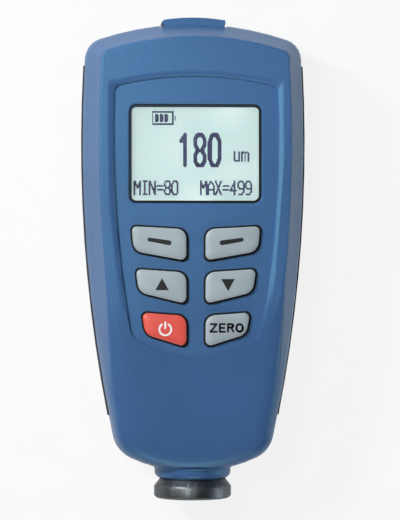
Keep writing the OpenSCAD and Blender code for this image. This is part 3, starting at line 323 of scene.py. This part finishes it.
def smoothed(node_name, name, smooth_to=35.0, bevel=0.0):
    """A smooth copy of a solid, which stands for it."""
    made = piece(name, merged(node_name), home[node_name], slots[node_name], smooth_to, bevel)
    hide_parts(node_name)
    print(name, len(made.data.polygons), "faces")
    return made


# %% Smooth pieces
EDGE = 0.12  # the width of a broken edge, in mm
smoothed("front_shell", "front_case", 40, EDGE)
smoothed("rear_shell", "rear_case", 40, EDGE)
smoothed("battery_door", "battery_cover", 30, EDGE)
smoothed("left_grip", "left_side_grip")
smoothed("right_grip", "right_side_grip")
smoothed("port_cover", "port_flap", 30, EDGE)
smoothed("probe_cap", "turned_probe_cap", 30)

# %% [markdown]
# ## The probe's spring
# The spring behind the plunger shortens when the plunger is pushed in, while its end at the plug stays.
# Here it is only given a smooth copy with a mesh of its own.

# %% Probe spring
spring = smoothed("probe_spring", "plunger_spring", 40)
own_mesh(spring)


# %% [markdown]
# ## Keys
# A real key is moulded with a softly crowned top, so that a finger finds its middle and its edge
# catches the light. The solid has a flat top, so its copy has that face drawn inwards in steps, each
# a little higher than the last: a chain of insets that ends in a broad flat middle for the symbol.
# Above the panel the key is a little wider than in it, and below its edge it is black. A black collar lies
# in the panel round each key, shifted a touch towards the lower right, where its wider side is painted
# shadow of the key.

# %% Crowned keys
FLAT_TOP = 29.9  # the top of a key's solid
CROWN = ((0.3, 0.10), (0.4, 0.07), (0.6, 0.05), (0.8, 0.03))  # how far inwards and how much higher
SKIRT_TOP = 29.72  # above this a key is coloured
CAP_OUT = 0.2  # how much wider a key is above the panel, at each side
COLLAR_TOP = 28.82  # just over the panel
COLLAR_DEEP = 0.5
COLLAR_OUT = 0.60  # how far the collar reaches out from the key's solid
# the collar's shift towards the lower right, which paints each key's shadow on that side
COLLAR_SHADOW_SHIFT = (0.1, -0.08)
KEYS = ("left_soft_key", "right_soft_key", "up_key", "down_key", "power_key", "zero_key")


def crowned_key(node_name):
    """A key whose top rises from its edge in soft steps."""
    work = merged(node_name)
    top = max(work.faces, key=lambda f: (round(f.calc_center_median().z / MM, 2), f.calc_area()))
    middle = top.calc_center_bounds()
    half = Vector([max(abs(v.co[i] - middle[i]) for v in top.verts) for i in (0, 1)])
    upper = [v for v in work.verts if v.co.z > COLLAR_TOP * MM]
    bmesh.ops.scale(work, vec=(*(1 + CAP_OUT * MM / h for h in half), 1),
                    space=Matrix.Translation(-middle), verts=upper)
    for width, rise in CROWN:
        bmesh.ops.inset_region(work, faces=[top], thickness=0.0)
        shrink = [1 - width * MM / h for h in half]
        bmesh.ops.scale(work, vec=(*shrink, 1), space=Matrix.Translation(-middle), verts=top.verts)
        bmesh.ops.translate(work, verts=top.verts, vec=(0, 0, rise * MM))
        half = Vector([h * s for h, s in zip(half, shrink)])
    bmesh.ops.bisect_plane(work, geom=work.verts[:] + work.edges[:] + work.faces[:],
                           plane_co=(0, 0, SKIRT_TOP * MM), plane_no=(0, 0, 1))
    for face in work.faces:
        face.material_index = 0 if face.calc_center_median().z > SKIRT_TOP * MM else 1
    made = piece(node_name + "_cap", work, home[node_name], slots[node_name], smooth_to=50)
    made.data.materials.append(FINISH["key_mat_silicone"])
    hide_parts(node_name)


def black_collar(node_name):
    """The black rubber collar in the panel round a key, which stays when the key goes down."""
    work = merged(node_name)
    for height, way in ((COLLAR_TOP, 1), (COLLAR_TOP - COLLAR_DEEP, -1)):
        cut = bmesh.ops.bisect_plane(work, geom=work.verts[:] + work.edges[:] + work.faces[:],
                                     plane_co=(0, 0, height * MM), plane_no=(0, 0, way),
                                     clear_outer=True)
        rim = [e for e in cut["geom_cut"] if isinstance(e, bmesh.types.BMEdge)]
        bmesh.ops.holes_fill(work, edges=rim)
    sides = [[v.co[i] for v in work.verts] for i in (0, 1)]
    middle = Vector([(min(c) + max(c)) / 2 for c in sides] + [0.0])
    grow = [1 + 2 * COLLAR_OUT * MM / (max(c) - min(c)) for c in sides]
    bmesh.ops.scale(work, vec=(*grow, 1), space=Matrix.Translation(-middle), verts=work.verts)
    # the shift towards the lower right makes the collar's wider side a painted shadow of the key
    bmesh.ops.translate(work, verts=work.verts, vec=(*(shift * MM for shift in COLLAR_SHADOW_SHIFT), 0))
    bmesh.ops.recalc_face_normals(work, faces=work.faces)
    piece(node_name + "_collar", work, "case", "key_mat_silicone", smooth_to=40)


for key_name in KEYS:
    crowned_key(key_name)
    black_collar(key_name)
KEY_TOP = FLAT_TOP + sum(rise for width, rise in CROWN)
print("keys crowned to", round(KEY_TOP, 2), "mm")

# %% [markdown]
# ## Printed symbols
# The symbols are pad-printed on the keys: a dash on each soft key, two arrows, the standby sign and
# the word for setting the reading to nought. Ink is thin but real, so each symbol is a flat shape with
# a thickness, let into the key's top a little so that it follows the crown.

# %% Printing inks and a helper for flat shapes
FINISH["ink_black"] = finish("printing_ink_black", ("#0B0B0C", "#121213"), rough=(0.5, 0.6), IOR=1.45)
FINISH["ink_white"] = finish("printing_ink_white", ("#E8EAEA", "#F2F4F4"), rough=(0.35, 0.45), IOR=1.5)
INK_DEEP = 0.12  # how far the ink is let into the crown
INK_PROUD = 0.02  # how far it stands out of it
print("inks ready")


def flat_shape(*outlines):
    """A bmesh with a flat face through the points of each outline, given in mm as (across, along)."""
    work = bmesh.new()
    for outline in outlines:
        work.faces.new([work.verts.new(at(x, s, KEY_TOP - INK_DEEP)) for x, s in outline])
    bmesh.ops.recalc_face_normals(work, faces=work.faces)
    return work


def print_on(key_name, name, work, ink):
    """Gives a flat shape its thickness and prints it on a key."""
    thickened(work, INK_DEEP + INK_PROUD)
    made = placed(name, work, ink)
    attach(made, home[key_name])


def dash(start, end, radii, steps=10):
    """The outline of a bar with round ends, thinner at one end."""
    angle = math.atan2(end[1] - start[1], end[0] - start[0])
    outline = []
    for centre, radius, first in ((end, radii[1], -90), (start, radii[0], 90)):
        for i in range(steps + 1):
            turn = angle + math.radians(first + 180 * i / steps)
            outline.append((centre[0] + radius * math.cos(turn), centre[1] + radius * math.sin(turn)))
    return outline


# %% Dashes and arrows
DASHES = {"left_soft_key": ("dash_left", (-11.9, 67.33), (-6.9, 66.49), (0.48, 0.62)),
          "right_soft_key": ("dash_right", (6.65, 66.5), (11.7, 67.28), (0.62, 0.48))}
ARROWS = {"up_key": ("arrow_up", [(-10.37, 54.41), (-6.95, 54.41), (-8.66, 57.48)]),
          "down_key": ("arrow_down", [(6.45, 57.25), (9.9, 57.25), (8.2, 54.15)])}
for key_name, (name, start, end, radii) in DASHES.items():
    print_on(key_name, name, flat_shape(dash(start, end, radii)), "ink_black")
for key_name, (name, corners) in ARROWS.items():
    print_on(key_name, name, flat_shape(corners), "ink_black")
print("dashes and arrows printed")


# %% Standby sign
def ring_part(centre, inner, outer, gap_deg, steps=40):
    """The outline of a ring that is open at its top."""
    outline = []
    for radius, way in ((outer, 1), (inner, -1)):
        for i in range(steps + 1):
            turn = math.radians(90 + way * (gap_deg + (360 - 2 * gap_deg) * i / steps))
            outline.append((centre[0] + radius * math.cos(turn), centre[1] + radius * math.sin(turn)))
    return outline


STANDBY = (-7.84, 44.42)
print_on("power_key", "standby_ring", flat_shape(ring_part(STANDBY, inner=1.27, outer=1.74, gap_deg=28)),
         "ink_white")
print_on("power_key", "standby_bar",
         flat_shape(dash((STANDBY[0], 44.75), (STANDBY[0], 46.2), (0.24, 0.24))), "ink_white")
print("standby sign printed")

# %% [markdown]
# The word is drawn as a draughtsman letters: each letter is a few strokes between points, and the
# round parts are arcs. Every stroke becomes a short bar with round ends, so that the bars join well.


# %% The word on the zero key
def arc(centre, radii, first, last, steps):
    """Points along a part of an ellipse, in mm."""
    turns = [math.radians(first + (last - first) * i / steps) for i in range(steps + 1)]
    return [(centre[0] + radii[0] * math.cos(t), centre[1] + radii[1] * math.sin(t)) for t in turns]


LOW, HALF, HIGH = 43.8, 44.77, 45.74  # the foot, the middle and the head of the letters
PEN = 0.26  # half the width of a stroke
word = [[(3.72, HIGH), (5.25, HIGH), (3.72, LOW), (5.3, LOW)],
        [(7.35, HIGH), (6.1, HIGH), (6.1, LOW), (7.4, LOW)], [(6.1, HALF), (7.2, HALF)],
        [(8.2, LOW), (8.2, HIGH), *arc((9.0, 45.3), (0.5, 0.42), 90, -90, 6), (8.2, 44.88)],
        [(8.95, 44.88), (9.6, LOW)],
        arc((11.12, HALF), (0.82, 0.95), 0, 360, 18)]
bars = [dash(start, end, (PEN, PEN), 4) for line in word for start, end in zip(line, line[1:])]
print_on("zero_key", "zero_word", flat_shape(*bars), "ink_black")
print(len(bars), "bars in the word")

# %% [markdown]
# ## Printed border and bead of the window
# The clear window's edge is hidden by a narrow black print on its underside, and a black bead seals it in
# its sunken surround. The bead sits a little to the left and upwards, so that its wider side there is
# painted shade of the surround's wall. Both are rounded frames: a grid face whose corners are cut and
# rounded, an inset for the width of the frame, the middle taken out, and a thickness.

# %% Window print and bead
WINDOW_S = 89.25  # the middle of the window and of the display


def window_frame(name, middle, size, corner, band, low, thick, finish_name):
    """A rounded frame round a middle and with a size given in mm as (across, along)."""
    work = bmesh.new()
    bmesh.ops.create_grid(work, x_segments=1, y_segments=1, size=0.5)
    bmesh.ops.scale(work, vec=(*(side * MM for side in size), 1), verts=work.verts)
    bmesh.ops.translate(work, vec=at(*middle, low), verts=work.verts)
    bmesh.ops.bevel(work, geom=work.verts[:], offset=corner * MM, offset_type="OFFSET",
                    affect="VERTICES", segments=6, profile=0.5, material=-1)
    opening = max(work.faces, key=lambda f: f.calc_area())
    bmesh.ops.inset_region(work, faces=[opening], thickness=band * MM, use_boundary=True,
                           use_even_offset=True)
    bmesh.ops.delete(work, geom=[opening], context="FACES")
    thickened(work, thick)
    made = placed(name, work, finish_name)
    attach(made, "case")
    print(name, len(made.data.polygons), "faces")


window_frame("window_print", (0, WINDOW_S), size=(36.0, 27.4), corner=2.8, band=1.68, low=26.64,
             thick=0.04, finish_name="ink_black")
# the bead sits 0.2 mm to the left and 0.18 mm up: its wider side at the left and top is painted shade
window_frame("window_bead_and_painted_shade", (-0.2, WINDOW_S + 0.18), size=(34.0, 25.4), corner=2.0, band=0.57,
             low=27.91, thick=0.49, finish_name="key_mat_silicone")

# %% [markdown]
# ## The reading on the display
# The display is a grid of dots a quarter of a millimetre apart, and each figure is drawn by the dots
# that lie under its strokes. So the figures are written here as strokes, and a grid keeps only the
# dots near one of them. Each dot then gets a thickness and its own small gap, as the real one has.

# %% Strokes of the figures
STROKES = {
    "0": [[(.25, 0), (.75, 0), (1, .2), (1, .8), (.75, 1), (.25, 1), (0, .8), (0, .2), (.25, 0)]],
    "1": [[(.1, .8), (.5, 1), (.5, 0)]],
    "4": [[(.75, 0), (.75, 1), (0, .3), (1, .3)]],
    "8": [[(.3, .5), (0, .68), (0, .85), (.25, 1), (.75, 1), (1, .85), (1, .68), (.7, .5), (1, .32),
           (1, .15), (.75, 0), (.25, 0), (0, .15), (0, .32), (.3, .5), (.7, .5)]],
    "9": [[(1, .45), (.25, .45), (0, .6), (0, .85), (.25, 1), (.75, 1), (1, .85), (1, .2), (.7, 0),
           (.2, 0)]],
    "M": [[(0, 0), (0, 1), (.5, .5), (1, 1), (1, 0)]],
    "I": [[(.5, 0), (.5, 1)], [(.2, 0), (.8, 0)], [(.2, 1), (.8, 1)]],
    "N": [[(0, 0), (0, 1), (1, 0), (1, 1)]],
    "A": [[(0, 0), (0, .7), (.5, 1), (1, .7), (1, 0)], [(0, .38), (1, .38)]],
    "X": [[(0, 0), (1, 1)], [(0, 1), (1, 0)]],
    "=": [[(0, .36), (1, .36)], [(0, .62), (1, .62)]],
    "u": [[(0, 1), (0, .15), (.25, 0), (.75, 0), (1, .15)], [(1, 1), (1, 0)]],
    "m": [[(0, 0), (0, 1)], [(0, .85), (.25, 1), (.5, .85), (.5, 0)],
          [(.5, .85), (.75, 1), (1, .85), (1, 0)]],
}


def written(words, left, low, size, pitch, weight):
    """The strokes of some figures: left and low edge, size, pitch and half the stroke's width in mm."""
    lines = []
    for i, figure in enumerate(words):
        for stroke in STROKES[figure]:
            points = [(left + i * pitch + x * size[0], low + y * size[1]) for x, y in stroke]
            lines += [(a, b, weight) for a, b in zip(points, points[1:])]
    return lines


WORDS = (("180", -3.85, 86.4, (2.45, 7.75), 3.8, 0.52),
         ("u", 10.0, 87.5, (1.3, 2.35), 0, 0.26),
         ("m", 11.95, 87.5, (1.7, 2.35), 0, 0.2),
         ("MIN=80", -15.5, 78.9, (1.4, 3.35), 1.92, 0.24),
         ("MAX=499", 1.4, 78.9, (1.4, 3.35), 1.92, 0.24))
reading = [stroke for row in WORDS for stroke in written(*row)]
print(len(reading), "strokes")

# %% [markdown]
# A battery sign fills the top left of the display: a frame, its end cap, and three bars.

# %% Battery sign
ICON = (-10.9, 97.0)  # the sign's lower left corner, across and along
OUTLINE = [(0, 0), (5.2, 0), (5.2, 3.0), (0, 3.0), (0, 0)]
END_CAP = [(5.75, 1.0), (5.75, 2.0)]
BARS = [[(x, 0.8), (x, 2.2)] for x in (1.0, 2.2, 3.4)]
THIN, BOLD = 0.2, 0.45  # half the width of a line
for points, weight in [(OUTLINE, THIN), (END_CAP, THIN), *((bar, BOLD) for bar in BARS)]:
    moved = [(ICON[0] + x, ICON[1] + y) for x, y in points]
    reading += [(a, b, weight) for a, b in zip(moved, moved[1:])]
print(len(reading), "strokes with the battery sign")


# %% Dots
def near(point, a, b):
    """How far a point is from the stroke between a and b."""
    along = Vector(b) - Vector(a)
    share = max(0.0, min(1.0, (Vector(point) - Vector(a)).dot(along) / along.length_squared))
    return (Vector(point) - Vector(a) - along * share).length


DOT = 0.24  # from one dot to the next, in mm
DOTS_X, DOTS_Y = 136, 104
DOT_LIFT, DOT_THICK = 0.005, 0.03
DOT_INSET = 0.004  # how much of its place a dot leaves bare at each side
DOT_LEAST = 0.7 * DOT  # smaller faces are the bare rims, not dots
LCD_TOP = 26.2
work = bmesh.new()
bmesh.ops.create_grid(work, x_segments=DOTS_X, y_segments=DOTS_Y, size=0.5)
bmesh.ops.scale(work, vec=(DOTS_X * DOT * MM, DOTS_Y * DOT * MM, 1), verts=work.verts)
bmesh.ops.translate(work, vec=at(0, WINDOW_S, LCD_TOP + DOT_LIFT), verts=work.verts)
unlit = []
for face in work.faces:
    middle = face.calc_center_median() / MM
    spot = (middle.x, middle.y + MIDDLE_S)
    if not any(near(spot, a, b) <= weight for a, b, weight in reading):
        unlit.append(face)
bmesh.ops.delete(work, geom=unlit, context="FACES")
bmesh.ops.split_edges(work, edges=work.edges)
bmesh.ops.inset_individual(work, faces=work.faces, thickness=DOT_INSET * MM)
print(len(work.faces), "faces of dots")

# %% Print the dots
rims = [face for face in work.faces if face.calc_area() <= (DOT_LEAST * MM) ** 2]
bmesh.ops.delete(work, geom=rims, context="FACES")
thickened(work, DOT_THICK)
dots = placed("display_dots", work, "lcd_dark")
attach(dots, "case")
print(len(dots.data.polygons), "faces in the reading")

# %% [markdown]
# ## Table and light
# The gauge lies on a white table under a softbox at its upper left, which throws the short shadows of
# the keys. A weaker one near the camera gives the sheen that fades towards the right. Four more light
# the bevels: two from beyond the top end, one from the right and one from beyond the probe. The table
# is one plane, large enough that its edge is never seen. To the camera and in reflections most of it is an
# even white, as a lit backdrop is, and for the rest it is matt paper.

# %% Table
FINISH["table"] = finish("table_white_matt", ("#DEDEDE", "#E4E4E4"), grain=1.0, rough=(0.8, 0.9),
                         IOR=1.3)
HALF_TABLE = 3.0  # in metres
WHITE_SEEN, WHITE_MIRRORED = 0.85, 0.6
work = bmesh.new()
bmesh.ops.create_grid(work, x_segments=1, y_segments=1, size=HALF_TABLE)
table = placed("table", work, "table")
tree = FINISH["table"].node_tree
seen = add(tree, "ShaderNodeLightPath")
ways = add(tree, "ShaderNodeMath", operation="ADD", use_clamp=True,
           links={0: seen.outputs["Is Glossy Ray"], 1: seen.outputs["Is Transmission Ray"]})
mirrored = add(tree, "ShaderNodeMath", {1: WHITE_MIRRORED}, {0: ways.outputs[0]},
               operation="MULTIPLY")
share = add(tree, "ShaderNodeMath", {1: WHITE_SEEN},
            {0: seen.outputs["Is Camera Ray"], 2: mirrored.outputs[0]}, operation="MULTIPLY_ADD")
white = add(tree, "ShaderNodeEmission", {"Color": linear("#FFFFFF"), "Strength": 1.0})
matt = node_of(tree, "BSDF_PRINCIPLED")
mixed = add(tree, "ShaderNodeMixShader",
            links={0: share.outputs[0], 1: matt.outputs[0], 2: white.outputs[0]})
tree.links.new(mixed.outputs[0], node_of(tree, "OUTPUT_MATERIAL").inputs[0])
print("table", 2 * HALF_TABLE, "m wide")


# %% Lamps
LIT_POINT = Vector((0, 0, 0.01))  # all lamps look at the middle of the gauge


def lamp(name, place, size, power, colour):
    """A square softbox: its place and the width of its side in metres, and its power in watts."""
    light = bpy.data.lights.new(name, "AREA")
    light.shape = "SQUARE"
    light.size = size
    light.energy = power
    light.color = linear(colour)[:3]
    made = bpy.data.objects.new(name, light)
    bpy.context.scene.collection.objects.link(made)
    made.location = place
    made.rotation_euler = (LIT_POINT - Vector(place)).to_track_quat("-Z", "Y").to_euler()


lamp("key_softbox", (-0.26, 0.16, 0.29), 0.06, 1.2, "#FFFFFF")
lamp("gloss_softbox", (-0.11, 0.06, 0.37), 0.07, 0.48, "#FFFFFF")
lamp("top_softbox", (0.0, 0.6, 0.55), 0.3, 0.3, "#F0FAFF")
lamp("top_strip", (-0.15, 0.85, 0.22), 0.4, 1.8, "#E6F8FF")
lamp("right_strip", (0.75, -0.05, 0.12), 0.3, 1.5, "#ECF6FF")
lamp("low_strip", (0.0, -0.75, 0.25), 0.4, 1.9, "#FFFFFF")
world = bpy.data.worlds.new("studio")
bpy.context.scene.world = world
world.use_nodes = True
room = world.node_tree.nodes["Background"]
room.inputs["Color"].default_value = linear("#F6F8FA")
room.inputs["Strength"].default_value = 0.02
bpy.context.scene.view_settings.view_transform = "Standard"
print(len(bpy.data.lights), "lamps placed")
